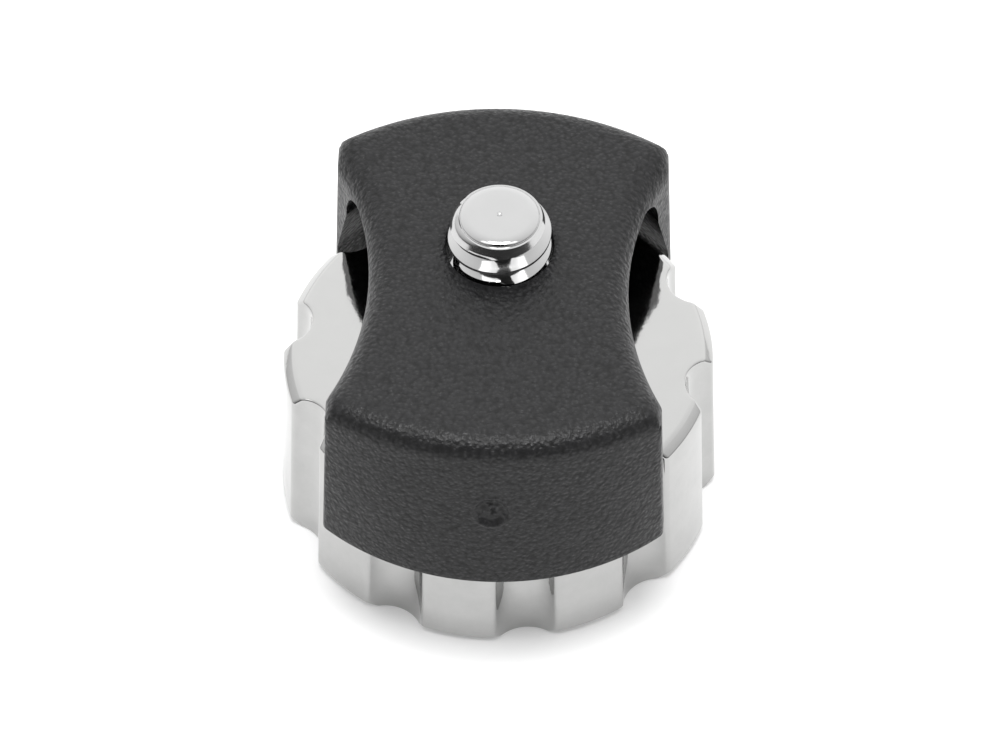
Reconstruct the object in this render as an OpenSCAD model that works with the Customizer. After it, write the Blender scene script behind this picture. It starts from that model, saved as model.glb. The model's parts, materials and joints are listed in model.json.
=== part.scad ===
// Thumb-wheel screw mount: a saddle-shaped hood with a fixed stud on top straddles a castellated
// clamp wheel, which turns on a spindle of its own and carries a threaded insert underneath.
// Millimetres, +Z up. The origin is on the wheel's axis, in the plane of its bottom face.
// The hood's long way is Y, its front skirt is at -Y, and its open windows face +X and -X.

/* [Clamp wheel] */
// Radius over the lobes at the bottom face
wheel_r = 13.5; // [12.5:0.1:17]
// Height of the rim
wheel_h = 12.1; // [9:0.1:15]
// How much smaller the rim's radius is at its top
wheel_draft = 0.25; // [0:0.05:0.3]
// How far the hub stands above the rim's top edge
wheel_crown = 0.3; // [0:0.05:0.5]
// Number of finger notches
notch_count = 10; // [6:1:14]
// Radius of a notch's scallop at the top of the rim
notch_r = 1.85; // [1.4:0.05:2.4]
// Depth of a notch at the top of the rim
notch_depth = 1.75; // [0.8:0.05:1.8]
// Radius of a notch's scallop at the foot of the rim
notch_foot_r = 2.3; // [1.6:0.05:2.6]
// Depth of a notch at the foot of the rim
notch_foot_depth = 1.15; // [0.8:0.05:1.8]
// Angle of one notch's middle, from +X
notch_angle = -81.1; // [-90:0.1:90]
// Bevel on the rim's edges
rim_bevel = 0.6; // [0.2:0.1:0.8]
// Thickness of the web that the bush sits in
web_t = 3.3; // [2.4:0.1:4]
// Depth of the ring-shaped relief in the bottom face
relief_depth = 0.4; // [0.2:0.1:1]
// Width of the bottom face that is left outside the relief
foot_w = 2.6; // [2:0.1:3.5]

/* [Hood] */
// Height of the hood's top above the rim of the wheel
hood_rise = 7.4; // [6.9:0.1:12]
// How far the skirts reach down past the top of the wheel
skirt_lap = 3.75; // [1.5:0.05:5]
// Thickness of the skirts at their lower edge
skirt_t = 1.45; // [1.2:0.05:2.5]
// Lean of the skirts at their middle, outwards to the bottom
skirt_lean = 7.4; // [3:0.1:9]
// Radius of the skirts' curve at the shoulder, flatter than the lower edge, which follows the wheel
shoulder_arc = 18.6; // [16:0.1:24]
// Half the hood's width across the ends of the skirts, at the shoulder
end_half = 10.2; // [9.8:0.05:11]
// How much further out the ends of the skirts are at the lower edge
end_flare = 0.25; // [0:0.05:0.6]
// Rounding of the skirts' upright corners
corner_r = 0.7; // [0.4:0.1:1]
// Thickness of the roof
roof_t = 1.3; // [1:0.1:2]
// Half the hood's width at its waist
waist_half = 8.05; // [7.5:0.05:10]
// Radius of the waist's hollow sides
waist_r = 21; // [17:0.5:30]
// Rounding of the top edge along the skirts
skirt_round = 1.5; // [0.8:0.1:2]
// Rounding of the top edge along the waist
waist_round = 1.8; // [0.8:0.1:2]
// How far below the wheel's rim the pocket starts to lean in
pocket_drop = 1.4; // [0.8:0.1:2]
// How much narrower the pocket is where it starts to curve into the roof
pocket_lean = 1.4; // [0.8:0.05:1.6]
// Height of the curve from the pocket's wall into the roof
cove_h = 3; // [2:0.1:4]
// Width of the curve from the pocket's wall into the roof
cove_w = 2; // [1:0.05:2.5]
// Radius of the moulding mark on the front skirt
mark_r = 1.1; // [0.6:0.1:1.5]
// Height of the moulding mark above the skirt's lower edge
mark_up = 5.85; // [3:0.05:7]
// Depth of the moulding mark
mark_depth = 0.2; // [0.1:0.05:0.4]

/* [Stud] */
// Radius of the thread's crests
stud_r = 3.175; // [2.5:0.005:4]
// How far the stud stands out of the hood
stud_out = 2.8; // [2.3:0.1:8]
// Height of the bevel at the stud's tip
lead_h = 1.3; // [0.5:0.1:1.5]
// How much smaller the stud's radius is at its tip
lead_in = 0.7; // [0.3:0.05:0.9]
// How far the stud is set back from the wheel's axis
stud_back = 2.3; // [0:0.1:3]
// Depth of the relief between the stud's thread and its head
stud_relief = 0.4; // [0.3:0.05:0.7]
// Hexagonal head, across its flats
head_flats = 8; // [7.5:0.1:8.6]
// Thickness of the head
head_t = 1.5; // [1.2:0.1:2]
// Width of the countersink round the stud
sink_w = 0.35; // [0.2:0.05:0.6]

/* [Core plate and screws] */
// Thickness of the core plate
core_t = 1.5; // [1.2:0.1:2]
// Half the core plate's width, which is also its end radius
core_half = 5; // [4.7:0.1:5.2]
// Front screw's distance ahead of the wheel's axis
screw_front = 6.7; // [6.5:0.1:7]
// Rear screw's distance behind the wheel's axis
screw_rear = 8.2; // [8.2:0.1:8.6]
// From a screw to the rounded end of the plate
screw_end = 2.3; // [2:0.1:2.6]
// Radius of a screw's shank
screw_r = 1; // [0.8:0.05:1.1]
// Radius of a screw's head
screw_head_r = 1.8; // [1.5:0.1:1.9]
// Height of a screw's head
screw_head_h = 1.2; // [0.8:0.1:1.3]
// Length of a screw under its head
screw_len = 3.4; // [3:0.1:4.6]
// Wall of the hood's boss round the core plate
boss_wall = 1.4; // [1:0.1:1.6]

/* [Spindle and washers] */
// Radius of the spindle's journal
journal_r = 3; // [2.6:0.1:3.2]
// Radius of the spindle's flange
flange_r = 4.2; // [4:0.1:4.4]
// Thickness of the spindle's flange
flange_t = 1.1; // [0.8:0.1:1.4]
// Radius of the tenon riveted into the core plate
tenon_r = 2.2; // [1.6:0.1:2.4]
// Radius at the bottom of the ring groove
groove_r = 2.3; // [2:0.1:2.4]
// Length of the spindle below the ring groove
tail_h = 0.8; // [0.5:0.1:1]
// Outer radius of the thrust washer and of the bush's flange
thrust_r = 4.6; // [4.4:0.1:4.7]
// Thickness of the thrust washer
thrust_t = 0.5; // [0.3:0.1:0.8]
// Wall of the bush
bush_wall = 0.95; // [0.7:0.05:1.1]
// Thickness of the bush's flange
bush_flange_t = 0.6; // [0.4:0.1:0.8]
// Outer radius of the clip washer and of the wave washer
washer_r = 4.8; // [4.6:0.1:5]
// Thickness of the clip washer
washer_t = 0.5; // [0.3:0.1:0.6]
// Thickness of the wave washer's strip
wave_t = 0.25; // [0.2:0.05:0.3]
// Height of the wave washer's waves, from trough to crest
wave_h = 0.4; // [0.2:0.05:0.4]
// Thickness of the retaining ring
ring_t = 0.6; // [0.4:0.1:0.8]
// Outer radius of the retaining ring
ring_r = 4.1; // [3.8:0.1:4.4]
// Opening of the retaining ring, as an angle
ring_gap = 50; // [30:5:90]

/* [Threaded insert] */
// Radius of the thread in the insert
socket_r = 3.175; // [2.5:0.005:4]
// Wall of the insert
insert_wall = 2.8; // [2:0.1:3.2]
// How far the insert is sunk into the bottom face
insert_sink = 0.3; // [0.1:0.1:0.6]
// Width of the seat that stops the insert in the wheel
insert_seat = 0.8; // [0.5:0.1:1]

/* [Clearances] */
// Radial gap between the wheel and the skirts
wheel_gap = 0.5; // [0.2:0.05:0.6]
// Radial running gap between the spindle and the bush
running_gap = 0.05; // [0.02:0.01:0.1]
// Axial play of the wheel
axial_gap = 0.2; // [0.1:0.05:0.3]
// Gap round a part that is dropped into its seat
seat_gap = 0.1; // [0.05:0.01:0.2]
// Radial gap left in a press fit
press_gap = 0.01; // [0.01:0.01:0.02]

/* [Hidden] */
$fn = 96;

over = 1;                                        // how far a cutter runs past the face it cuts
skin = 0.01;                                     // thickness of a slice that a hull joins to others

// Heights, from the wheel up to the stud's tip
hub_z = wheel_h + wheel_crown;
bush_top = hub_z + bush_flange_t;
flange_z = bush_top + axial_gap + thrust_t;      // underside of the spindle's flange
core_z = flange_z + flange_t;                    // underside of the core plate
head_z = core_z + core_t;                        // underside of the stud's head
top_z = wheel_h + hood_rise;
roof_z = top_z - roof_t;                         // the pocket's ceiling
skirt_z = wheel_h - skirt_lap;                   // lower edge of the skirts
tip_z = top_z + stud_out;

// Heights, from the wheel's web down to the insert
web_z = hub_z - web_t;
wave_z = web_z - axial_gap / 2 - wave_t - wave_h;
washer_z = wave_z - axial_gap / 2 - washer_t;
ring_z = washer_z - ring_t;
tail_z = ring_z - tail_h;
insert_top = tail_z - axial_gap * 2;

// Radii
pocket_r = wheel_r + wheel_gap;
skirt_r = pocket_r + skirt_t;                    // outside of the skirts, at their lower edge
shoulder_z = top_z - skirt_round;
shoulder_r = skirt_r - (shoulder_z - skirt_z) * tan(skirt_lean); // reach of the skirts at the shoulder
waist_x = waist_half + waist_r;                  // axis of the cylinder that hollows a side
bore_r = journal_r + running_gap;
bush_r = bore_r + bush_wall;
insert_r = socket_r + insert_wall;
chamber_r = insert_r - insert_seat;
boss_r = core_half + seat_gap + boss_wall;
core_front = screw_front + screw_end - core_half; // how far ahead the plate's front end is centred
core_rear = screw_rear + screw_end - core_half;   // how far behind the plate's rear end is centred
boss_z = bush_top + axial_gap;

black = [0.07, 0.07, 0.075];
chrome = [0.86, 0.86, 0.85];
steel = [0.62, 0.63, 0.65];
brass = [0.78, 0.62, 0.3];
nylon = [0.9, 0.89, 0.84];

// A flat-ended block along Y with round ends, between two heights
module slot_block(r, low, high) {
    translate([0, 0, low]) {
        translate([0, -core_front, 0]) cylinder(r = r, h = high - low);
        translate([0, core_rear, 0]) cylinder(r = r, h = high - low);
        translate([-r, -core_front, 0]) cube([2 * r, core_front + core_rear, high - low]);
    }
}

// A flat washer standing on a height
module washer(outer, inner, low, thick) {
    translate([0, 0, low]) difference() {
        cylinder(r = outer, h = thick);
        translate([0, 0, -over]) cylinder(r = inner, h = thick + 2 * over);
    }
}

// Places its children at both screws
module at_screws() {
    translate([0, -screw_front, 0]) children();
    translate([0, screw_rear, 0]) children();
}

// A thin slice of the hood's outside: a front and a back arc between straight ends
module hood_slice(z, reach, arc, half, inset) {
    translate([0, 0, z]) linear_extrude(skin) offset(r = corner_r, $fn = 16) offset(delta = -corner_r)
        intersection() {
            intersection_for(side = [-1, 1])
                translate([0, side * (arc - reach)]) circle(r = arc - inset, $fn = 64);
            square([2 * (half - inset), 2 * skirt_r], center = true);
        }
}

// The hood's outside before its waist is cut: leaning skirts under a rounded shoulder
module hood_outside() {
    hull() {
        hood_slice(skirt_z, skirt_r, skirt_r, end_half + end_flare, 0);
        for (rise = [0 : 15 : 90])
            hood_slice(shoulder_z + skirt_round * sin(rise) - skin, shoulder_r, shoulder_arc, end_half,
                       skirt_round * (1 - cos(rise)));
    }
}

// What hollows one side of the hood: a cylinder that widens over the rounded top edge
module waist_cutter() {
    rotate_extrude() {
        translate([0, skirt_z - over]) square([waist_r, top_z - skirt_z + 2 * over]);
        difference() {
            translate([waist_r, top_z - waist_round]) square([waist_round, waist_round + over]);
            translate([waist_r + waist_round, top_z - waist_round]) circle(r = waist_round);
        }
    }
}

// The pocket: straight beside the wheel, then leaning in and curving into the roof
module pocket() {
    cove_r = pocket_r - pocket_lean;
    rotate_extrude() polygon(concat(
        [[0, skirt_z - over], [pocket_r, skirt_z - over], [pocket_r, wheel_h - pocket_drop]],
        [for (turn = [0 : 15 : 90]) [cove_r - cove_w * (1 - cos(turn)), roof_z - cove_h * (1 - sin(turn))]],
        [[0, roof_z]]
    ));
}

module hood() {
    mark_y = skirt_r - mark_up * tan(skirt_lean);
    color(black) difference() {
        hood_outside();
        difference() {
            pocket();
            slot_block(boss_r, boss_z, top_z);
        }
        for (side = [-1, 1]) translate([side * waist_x, 0, 0]) waist_cutter();
        slot_block(core_half + seat_gap, boss_z - over, head_z);
        translate([0, 0, boss_z - over]) cylinder(r = thrust_r + seat_gap, h = core_z - boss_z + over);
        translate([0, stud_back, 0]) {
            translate([0, 0, head_z - over])
                cylinder(r = head_flats / 2 / cos(30) + seat_gap, h = head_t + over, $fn = 6);
            translate([0, 0, head_z]) cylinder(r = stud_r, h = top_z - head_z + over);
            translate([0, 0, top_z - sink_w]) cylinder(r1 = stud_r, r2 = stud_r + sink_w, h = sink_w);
        }
        at_screws() translate([0, 0, head_z - over]) cylinder(r = screw_r, h = screw_len - core_t + over);
        translate([0, -mark_y, skirt_z + mark_up]) rotate([90 - skirt_lean, 0, 0])
            translate([0, 0, -mark_depth]) cylinder(r = mark_r, h = mark_depth + over);
    }
}

module stud() {
    neck_r = stud_r - stud_relief;
    color(chrome) translate([0, stud_back, 0]) {
        translate([0, 0, head_z]) cylinder(r = head_flats / 2 / cos(30), h = head_t, $fn = 6);
        rotate_extrude() polygon([
            [0, head_z], [neck_r, head_z], [neck_r, top_z], [stud_r, top_z], [stud_r, tip_z - lead_h],
            [stud_r - lead_in, tip_z], [0, tip_z]
        ]);
    }
}

module core_plate() {
    color(steel) difference() {
        slot_block(core_half, core_z, head_z);
        translate([0, 0, core_z - over]) cylinder(r = tenon_r + press_gap, h = core_t + 2 * over);
        at_screws() translate([0, 0, core_z - over]) cylinder(r = screw_r + seat_gap, h = core_t + 2 * over);
    }
}

module plate_screws() {
    cross_w = screw_head_r / 3;
    color(steel) at_screws() translate([0, 0, core_z]) {
        cylinder(r = screw_r, h = screw_len);
        translate([0, 0, -screw_head_h]) difference() {
            cylinder(r = screw_head_r, h = screw_head_h);
            for (turn = [0, 90]) rotate(turn)
                translate([-screw_r, -cross_w / 2, -over]) cube([2 * screw_r, cross_w, over + screw_head_h / 2]);
        }
    }
}

module spindle() {
    bevel = min(journal_r - groove_r, tail_h * 7 / 8);
    color(steel) rotate_extrude() polygon([
        [0, tail_z], [journal_r - bevel, tail_z], [journal_r, tail_z + bevel],
        [journal_r, ring_z], [groove_r, ring_z], [groove_r, washer_z], [journal_r, washer_z],
        [journal_r, flange_z], [flange_r, flange_z], [flange_r, core_z], [tenon_r, core_z],
        [tenon_r, head_z], [0, head_z]
    ]);
}

module thrust_washer() {
    color(nylon) washer(thrust_r, bore_r, flange_z - thrust_t, thrust_t);
}

// The wheel before its notches are cut: tapered rim, bevelled edges and a crowned top
module wheel_blank() {
    rim_top_r = wheel_r - wheel_draft;
    foot_r = wheel_r - rim_bevel - foot_w;
    rotate_extrude() difference() {
        polygon([
            [bush_r + press_gap, 0], [wheel_r - rim_bevel, 0], [wheel_r, rim_bevel],
            [rim_top_r, wheel_h - rim_bevel], [rim_top_r - rim_bevel, wheel_h],
            [thrust_r, hub_z], [bush_r + press_gap, hub_z]
        ]);
        translate([0, -over]) square([insert_r + press_gap, insert_top + over]);
        square([chamber_r, web_z]);
        translate([insert_r + rim_bevel, -over]) square([foot_r - insert_r - rim_bevel, relief_depth + over]);
    }
}

// The cutter for one notch: a leaning cone that reaches past the rim at both ends
module notch_cutter() {
    foot_x = wheel_r - notch_foot_depth + notch_foot_r;
    top_x = wheel_r - notch_depth + notch_r;
    lean = atan((foot_x - top_x) / wheel_h);
    spare = 1 / 10;
    taper = spare * (notch_foot_r - notch_r);
    long = wheel_h / cos(lean);
    translate([foot_x, 0, 0]) rotate([0, -lean, 0]) translate([0, 0, -spare * long])
        cylinder(r1 = notch_foot_r + taper, r2 = notch_r - taper, h = long * (1 + 2 * spare));
}

module wheel() {
    color(chrome) difference() {
        wheel_blank();
        for (i = [0 : notch_count - 1]) rotate(notch_angle + i * 360 / notch_count) notch_cutter();
    }
}

module bush() {
    color(brass) rotate_extrude() polygon([
        [bore_r, web_z], [bush_r, web_z], [bush_r, hub_z], [thrust_r, hub_z], [thrust_r, bush_top],
        [bore_r, bush_top]
    ]);
}

// A washer bent into three waves: one rectangle of strip at every step round the circle
module wave_washer() {
    waves = 3;
    steps = 60;
    mid = wave_z + wave_h / 2;
    corners = [[bore_r + seat_gap, 0], [washer_r, 0], [washer_r, wave_t], [bore_r + seat_gap, wave_t]];
    points = [for (i = [0 : steps - 1]) let (a = i * 360 / steps, lift = mid + wave_h / 2 * sin(waves * a))
              for (c = corners) [c[0] * cos(a), c[0] * sin(a), lift + c[1]]];
    faces = [for (i = [0 : steps - 1]) let (j = (i + 1) % steps)
             for (k = [0 : 3]) let (m = (k + 1) % 4) [4 * i + k, 4 * i + m, 4 * j + m, 4 * j + k]];
    color(steel) polyhedron(points, faces);
}

module clip_washer() {
    color(steel) washer(washer_r, bore_r, washer_z, washer_t);
}

// An open ring that snaps into the spindle's groove
module retaining_ring() {
    reach = ring_r * 2;
    color(steel) difference() {
        washer(ring_r, groove_r + press_gap, ring_z, ring_t);
        translate([0, 0, ring_z - over]) linear_extrude(ring_t + 2 * over)
            polygon([[0, 0], reach * [sin(-ring_gap / 2), -cos(ring_gap / 2)],
                     reach * [sin(ring_gap / 2), -cos(ring_gap / 2)]]);
    }
}

module insert() {
    lead = socket_r / 8;
    color(brass) rotate_extrude() polygon([
        [socket_r + lead, insert_sink], [insert_r - lead, insert_sink], [insert_r, insert_sink + lead],
        [insert_r, insert_top], [socket_r, insert_top], [socket_r, insert_sink + lead]
    ]);
}

hood();
stud();
core_plate();
plate_screws();
spindle();
thrust_washer();
wheel();
bush();
wave_washer();
clip_washer();
retaining_ring();
insert();
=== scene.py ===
import json
import math
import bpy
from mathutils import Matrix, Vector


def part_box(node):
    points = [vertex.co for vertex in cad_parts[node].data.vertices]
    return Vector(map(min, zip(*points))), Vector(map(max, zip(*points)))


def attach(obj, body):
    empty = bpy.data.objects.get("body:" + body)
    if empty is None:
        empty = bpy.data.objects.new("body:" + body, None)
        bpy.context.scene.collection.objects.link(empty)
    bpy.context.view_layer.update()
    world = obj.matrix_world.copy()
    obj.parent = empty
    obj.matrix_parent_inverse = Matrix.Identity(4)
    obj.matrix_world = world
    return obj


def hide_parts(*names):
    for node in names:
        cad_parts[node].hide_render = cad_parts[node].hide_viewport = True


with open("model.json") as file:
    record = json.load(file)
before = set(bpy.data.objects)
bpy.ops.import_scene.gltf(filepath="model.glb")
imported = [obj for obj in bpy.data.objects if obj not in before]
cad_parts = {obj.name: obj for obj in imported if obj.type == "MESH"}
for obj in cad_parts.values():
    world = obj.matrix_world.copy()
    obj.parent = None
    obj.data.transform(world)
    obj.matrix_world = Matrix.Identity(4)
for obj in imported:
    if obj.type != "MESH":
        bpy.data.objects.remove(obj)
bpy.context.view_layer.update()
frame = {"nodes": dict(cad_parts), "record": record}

from types import SimpleNamespace

import bmesh
import bpy
import numpy as np
from bpy.props import FloatProperty, FloatVectorProperty, IntProperty, PointerProperty
from mathutils import Vector

bl_info = {
    "name": "Thumb Wheel Screw Mount",
    "version": (1, 0, 0),
    "blender": (4, 5, 0),
    "location": "3D View > Sidebar > Screw Mount",
    "description": "Builds the hood, clamp wheel, stud and inner parts of a thumb wheel screw mount",
    "category": "Object",
}

MM = 0.001
TURN = 2 * math.pi
WELD = 2e-7  # metres


def low_high(node):
    """The lowest and highest corners of a CAD node in millimetres, as two arrays."""
    low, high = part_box(node)
    return np.array(low) / MM, np.array(high) / MM


HOOD_LOW, HOOD_HIGH = low_high("hood")
WHEEL_HIGH = low_high("wheel")[1]
STUD_LOW, STUD_HIGH = low_high("stud")
PLATE_LOW, PLATE_HIGH = low_high("core_plate")
BUSH_LOW, BUSH_HIGH = low_high("bush")
INSERT_LOW, INSERT_HIGH = low_high("insert")
STUD_MOUNT = next(mount for mount in frame["record"]["mounts"] if mount["name"] == "stud")
THREAD_R = STUD_MOUNT["dims"]["r_mm"]
THREAD_HIGH = STUD_MOUNT["dims"]["length_mm"]


# Settings -------------------------------------------------


def length(name, millimetres, description):
    """A setting for a length, whose default is given in millimetres."""
    return FloatProperty(
        name=name, description=description, default=millimetres * MM, min=0, precision=5, unit="LENGTH")


def angle(name, degrees, description):
    """A setting for an angle, whose default is given in degrees."""
    return FloatProperty(
        name=name, description=description, default=math.radians(degrees), subtype="ANGLE", unit="ROTATION")


def tint(name, channels, description):
    """A setting for a finish's colour."""
    return FloatVectorProperty(
        name=name, description=description, default=channels, size=3, min=0, max=1, subtype="COLOR")


class HoodSettings(bpy.types.PropertyGroup):
    """Sizes of the hood."""

    skirt_lean: angle("Skirt Lean", 7.4, "Lean of the skirts at their middle, outwards to the bottom")
    skirt_round: length("Skirt Rounding", 1.5, "Rounding of the top edge along the skirts")
    end_half: length("Half Width", 10.2, "Half the width across the ends of the skirts, at the top")
    end_flare: length("End Flare", 0.25,
        "How much further out the ends of the skirts are at their lower edge")
    waist_half: length("Half Waist", 8.05, "Half the width at the waist")
    waist_arc: length("Waist Arc", 21, "Radius of the waist's hollow sides")
    waist_round: length("Waist Rounding", 1.8, "Rounding of the top edge along the waist")
    lower_round: length("Lower Edge", 0.12, "Rounding of the skirts' lower edge")
    shoulder_arc: length("Shoulder Arc", 18.6, "Radius of the skirts' curve at the shoulder")
    corner_sharpness: FloatProperty(
        name="Corner Sharpness", description="How sharply the skirts' curve turns into their ends",
        default=160, min=8, max=400)
    wheel_gap: length("Wheel Gap", 0.5, "Gap between the wheel and the skirts")
    rim_below_hub: length("Rim Below Hub", 1.7,
        "From the hub's top down to where the pocket starts to lean in")
    roof_thick: length("Roof", 1.3, "Thickness of the roof")
    pocket_lean: length("Pocket Lean", 1.4,
        "How much narrower the pocket is where it starts to curve into the roof")
    cove_high: length("Cove Height", 3, "Height of the curve from the pocket's wall into the roof")
    cove_wide: length("Cove Width", 2,
        "Width of the curve from the pocket's wall into the roof, beside the windows")
    mark_up: length("Mark Height", 5.85, "Height of the gate mark above the front skirt's lower edge")
    mark_r: length("Mark Radius", 1.1, "Radius of the gate mark")
    mark_deep: length("Mark Depth", 0.2, "Depth of the gate mark")
    hole_r: length("Stud Hole", 3.28, "Radius of the hole for the stud")
    hole_bevel: length("Hole Bevel", 0.3, "Bevel round the hole for the stud")
    head_high: length("Head Pocket Depth", 1.5, "Depth of the pocket for the stud's head")
    head_flats: length("Head Pocket Flats", 8.2,
        "Width of the pocket for the stud's head, across its flats")
    plate_gap: length("Plate Gap", 0.1, "Gap round the core plate in its recess")
    boss_wall: length("Boss Wall", 1.4, "Wall of the boss round the core plate's recess")
    boss_gap: length("Boss Gap", 0.2, "Gap between the boss and the top of the bush")
    boss_round: length("Boss Rounding", 0.4, "Rounding between the boss and the ceiling")


class WheelSettings(bpy.types.PropertyGroup):
    """Sizes of the clamp wheel."""

    notches: IntProperty(
        name="Notches", description="Number of finger notches",
        default=10, min=3, max=24)
    notch_r: length("Notch Radius", 1.85, "Radius of a notch's hollow at the top of the rim")
    notch_deep: length("Notch Depth", 1.75, "Depth of a notch at the top of the rim")
    notch_foot_r: length("Notch Foot Radius", 2.3, "Radius of a notch's hollow at the foot of the rim")
    notch_foot_deep: length("Notch Foot Depth", 1.15, "Depth of a notch at the foot of the rim")
    notch_turn: angle("Notch Angle", -81.1, "Angle of one notch's middle, from the X axis")
    corner_r: length("Lobe Corner", 0.4, "Rounding of a lobe's upright corners")
    bevel: length("Rim Bevel", 0.6, "Bevel along the outside of the lobes, at the top and bottom")
    bevel_soft: length("Bevel Softness", 0.08,
        "How far the bevel's corner with the rim's wall is polished round")
    edge_r: length("Edge Rounding", 0.16, "Rounding of the top and bottom edges, in the notches too")
    draft: length("Draft", 0.25, "How much smaller the rim's radius is at its top")
    rim_high: length("Rim Height", 12.1, "Height of the rim")
    bush_r: length("Bush Seat", 4.01, "Radius of the seat for the bush")
    chamber_r: length("Chamber Radius", 5.175, "Radius of the chamber under the web")
    insert_r: length("Insert Seat", 5.985, "Radius of the seat for the threaded insert")
    foot_r: length("Foot Ring", 10.3, "Inner radius of the ring that the wheel stands on")
    relief: length("Relief Depth", 0.4, "Depth of the relief inside the foot ring")


class StudSettings(bpy.types.PropertyGroup):
    """Sizes of the stud on top."""

    pitch: length("Thread Pitch", 1.27, "Distance from one thread to the next")
    thread_deep: length("Thread Depth", 0.69, "Depth of the thread")
    thread_sunk: length("Thread Run-out", 0.4, "How far the thread reaches down into the hood")
    crest_flat: FloatProperty(
        name="Crest Width", description="Width of the thread's crest, as a share of the pitch",
        default=0.16, min=0, subtype="FACTOR")
    thread_turn: angle("Thread Angle", 10.6,
        "Angle at which the thread's crest reaches the foot of the tip's edge")
    lead_in: length("Lead Bevel", 0.7,
        "How much smaller the thread's radius is at the tip, at the end of the bevel")
    tip_flat: length("Tip Flat", 1.85, "Radius of the flat on the tip, inside its soft edge")
    tip_edge: length("Tip Edge", 0.3,
        "Height of the soft edge round the tip, above the start of the thread")
    centre_r: length("Centre Radius", 0.14, "Radius of the turning centre in the tip")
    neck_r: length("Neck Radius", 2.775, "Radius of the relief between the thread and the head")
    head_high: length("Head Thickness", 1.5, "Thickness of the head")
    head_flats: length("Head Flats", 8, "Width of the head across its flats")


class InsertSettings(bpy.types.PropertyGroup):
    """Sizes of the threaded insert."""

    socket_r: length("Thread Radius", 3.175, "Radius at the root of the thread")
    minor_r: length("Crest Radius", 2.6, "Radius inside the thread's crests")
    pitch: length("Thread Pitch", 1.27, "Distance from one thread to the next")
    mouth_lead: length("Mouth Lead", 0.397, "Bevel at the mouth")


class FinishSettings(bpy.types.PropertyGroup):
    """Colours and surface detail of the finishes."""

    hood_black: tint("Hood Plastic", (0.01, 0.01, 0.0105), "Colour of the moulded hood")
    hood_gloss: FloatProperty(
        name="Hood Gloss",
        description="Strength of the moulded hood's reflections, 0.5 for a plain plastic",
        default=0.28, min=0, max=1, subtype="FACTOR")
    grain: length("Grain Size", 0.12, "Size of the grain on the moulded hood")
    grain_deep: length("Grain Depth", 0.06, "Depth of the grain on the moulded hood")
    wheel_chrome: tint("Wheel Plating", (0.48, 0.48, 0.475), "Colour of the wheel's plating")
    stud_chrome: tint("Stud Plating", (0.5, 0.5, 0.5), "Colour of the stud's plating")
    steel: tint("Zinc Plate", (0.56, 0.57, 0.58), "Colour of the zinc plated steel parts")
    brass: tint("Brass", (0.78, 0.58, 0.26), "Colour of the turned brass parts")
    nylon: tint("Nylon", (0.8, 0.78, 0.7), "Colour of the nylon thrust washer")


class StageSettings(bpy.types.PropertyGroup):
    """Camera, lights and floor."""

    distance: length("Camera Distance", 750, "From the camera to the middle of the wheel's bottom face")
    lens: FloatProperty(
        name="Lens", description="Focal length in millimetres for a film 36 mm wide",
        default=432, min=1, max=5000, unit="CAMERA")
    height: angle("Camera Elevation", 50.4, "Angle of the camera above the floor")
    swing: angle("Camera Swing", 1.7, "Angle of the camera to the right of straight in front")
    aim_up: angle("Aim Up", 0.4813, "How far above the wheel's bottom face the camera aims, as an angle")
    aim_right: angle("Aim Right", 0.00716,
        "How far to the right of the wheel's axis the camera aims, as an angle")
    floor_wide: length("Floor", 3000, "Width of the floor")
    sky: FloatProperty(
        name="Room Light", description="Strength of the light from the white room",
        default=1.4, min=0, subtype="FACTOR")
    opening: angle("Tent Opening", 24,
        "Half the angle of the dark opening that the camera looks in through")
    glow: FloatProperty(
        name="Table Light",
        description="Strength of the light that comes up through the paper on the table",
        default=0.2, min=0, subtype="FACTOR")
    light_power: FloatProperty(
        name="Soft Lights", description="Power of each of the two soft lights high in front",
        default=1.2, min=0, unit="POWER")
    top_power: FloatProperty(
        name="Top Light", description="Power of the soft light almost overhead",
        default=10.0, min=0, unit="POWER")
    top_high: angle("Top Light Elevation", 80, "Angle of the top light above the floor in front")
    light_wide: length("Soft Light Width", 500, "Width of each of the soft lights")
    light_away: length("Soft Light Distance", 1300,
        "From the soft lights to the middle of the wheel's bottom face")
    light_swing: angle("Soft Light Swing", 42,
        "Angle of the soft lights to either side of straight in front")
    light_high: angle("Soft Light Elevation", 62, "Angle of the soft lights above the floor")


class MountSettings(bpy.types.PropertyGroup):
    """All the settings of the screw mount."""

    hood: PointerProperty(type=HoodSettings, name="Hood", description="Sizes of the hood")
    wheel: PointerProperty(type=WheelSettings, name="Clamp Wheel", description="Sizes of the clamp wheel")
    stud: PointerProperty(type=StudSettings, name="Stud", description="Sizes of the stud")
    insert: PointerProperty(type=InsertSettings, name="Insert", description="Sizes of the threaded insert")
    finish: PointerProperty(type=FinishSettings, name="Finishes", description="Colours and surface detail")
    stage: PointerProperty(type=StageSettings, name="Stage", description="Camera, lights and floor")


def in_millimetres(settings):
    """A settings group's values, with its lengths in millimetres and its angles in radians."""
    facts = settings.bl_rna.properties
    return SimpleNamespace(**{
        key: getattr(settings, key) / MM if facts[key].unit == "LENGTH" else getattr(settings, key)
        for key in settings.__annotations__})


# Surfaces -------------------------------------------------


def least(sharpness, *distances):
    """The smooth least of several arrays: the least one, drawn in a little where another comes close to it.

    It is the least times the sum of its ratios to all of them, each raised to the sharpness, to the power
    of minus one over the sharpness."""
    all_of_them = np.stack(np.broadcast_arrays(*distances))
    smallest = all_of_them.min(axis=0)
    return smallest * ((smallest / all_of_them) ** sharpness).sum(axis=0) ** (-1 / sharpness)


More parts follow.
